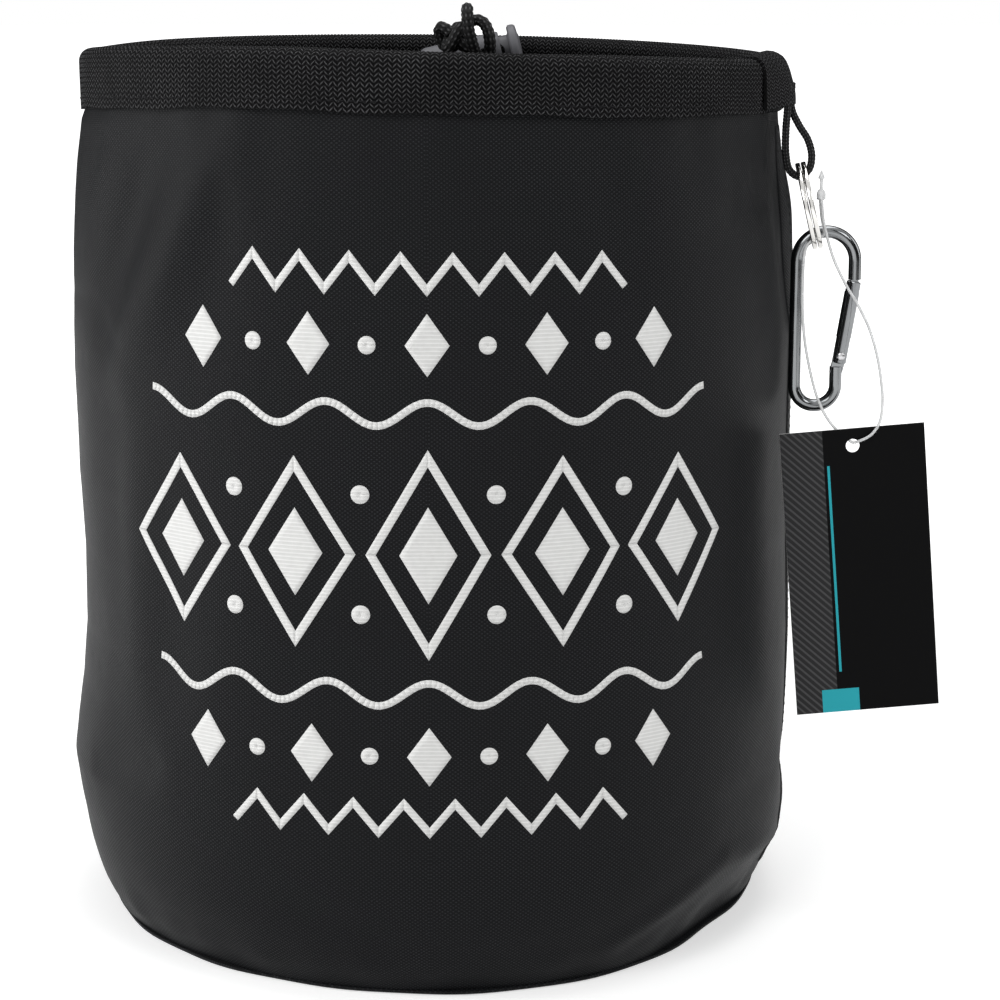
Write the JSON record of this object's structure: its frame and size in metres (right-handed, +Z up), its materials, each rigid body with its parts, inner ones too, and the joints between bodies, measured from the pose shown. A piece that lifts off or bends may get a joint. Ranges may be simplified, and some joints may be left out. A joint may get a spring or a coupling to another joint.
{
  "type": "peg bag",
  "caption": "Round cloth peg bag with a webbing rim, a drawcord with a spring cord lock, and a snap hook on a split ring to hang it from a line or belt.",
  "frame": {"origin": "middle of the flat round base, on the surface that the bag stands on", "axes": "+Z up the bag, +X towards the side seam and the hanging hook, -Y towards the printed front"},
  "size_m": [0.2869, 0.2398, 0.2959],
  "materials": {
    "cloth": "coated plain weave",
    "webbing": "herringbone weave",
    "braid": "round braid",
    "lock_plastic": "matt moulded",
    "nickel": "polished nickel",
    "gunmetal": "satin anodised",
    "spring_steel": "drawn wire",
    "rivet_steel": "bright",
    "card": "laminated card",
    "nylon": "clear moulded"
  },
  "bodies": {
    "bag": {"wall_panel": "cloth", "base_panel": "cloth", "rim_webbing": "webbing", "drawcord": "braid", "drawcord_tail_left": "braid", "drawcord_tail_right": "braid", "drawcord_knot": "braid"},
    "cord_lock": {"lock_body": "lock_plastic", "lock_spring": "spring_steel"},
    "lock_button": {"lock_plunger": "lock_plastic"},
    "loop": {"hang_loop": "braid"},
    "ring": {"split_ring": "nickel", "tag_loop_head": "nylon"},
    "snap_hook": {"carabiner_body": "gunmetal", "gate_rivet": "rivet_steel"},
    "gate": {"carabiner_gate": "gunmetal", "gate_spring": "spring_steel", "gate_push_pin": "spring_steel"},
    "tag": {"swing_tag": "card", "tag_loop": "nylon"}
  },
  "joints": [
    {"name": "lock_slide", "type": "slide", "parent": "bag", "child": "cord_lock", "axis": [0, -1, 0], "range_m": [0, 0.003]},
    {"name": "plunger_press", "type": "slide", "parent": "cord_lock", "child": "lock_button", "axis": [-0.9744, 0, -0.225], "range_m": [0, 0.003], "stiffness_N_per_m": 800, "springref_m": -0.002, "deforming": ["lock_spring"]},
    {"name": "loop_lift", "type": "hinge", "parent": "bag", "child": "loop", "pos_m": [0.1118, -0.03633, 0.265], "axis": [0, -1, 0], "range_deg": [0, 140], "deforming": ["hang_loop"]},
    {"name": "ring_swing", "type": "hinge", "parent": "loop", "child": "ring", "pos_m": [0.116, -0.03633, 0.2444], "axis": [-0.9732, 0, -0.23], "range_deg": [0, 45]},
    {"name": "hook_swing", "type": "hinge", "parent": "ring", "child": "snap_hook", "pos_m": [0.12175, -0.03633, 0.22222], "axis": [0, -1, 0], "range_deg": [0, 60]},
    {"name": "gate_open", "type": "hinge", "parent": "snap_hook", "child": "gate", "pos_m": [0.12982, -0.03633, 0.18716], "axis": [0, -1, 0], "range_deg": [0, 25], "stiffness_Nm_per_rad": 0.02, "springref_deg": -17.19},
    {"name": "tag_swing", "type": "hinge", "parent": "ring", "child": "tag", "pos_m": [0.12154, -0.0411, 0.22312], "axis": [0, -1, 0], "range_deg": [0, 25], "deforming": ["tag_loop"]}
  ]
}
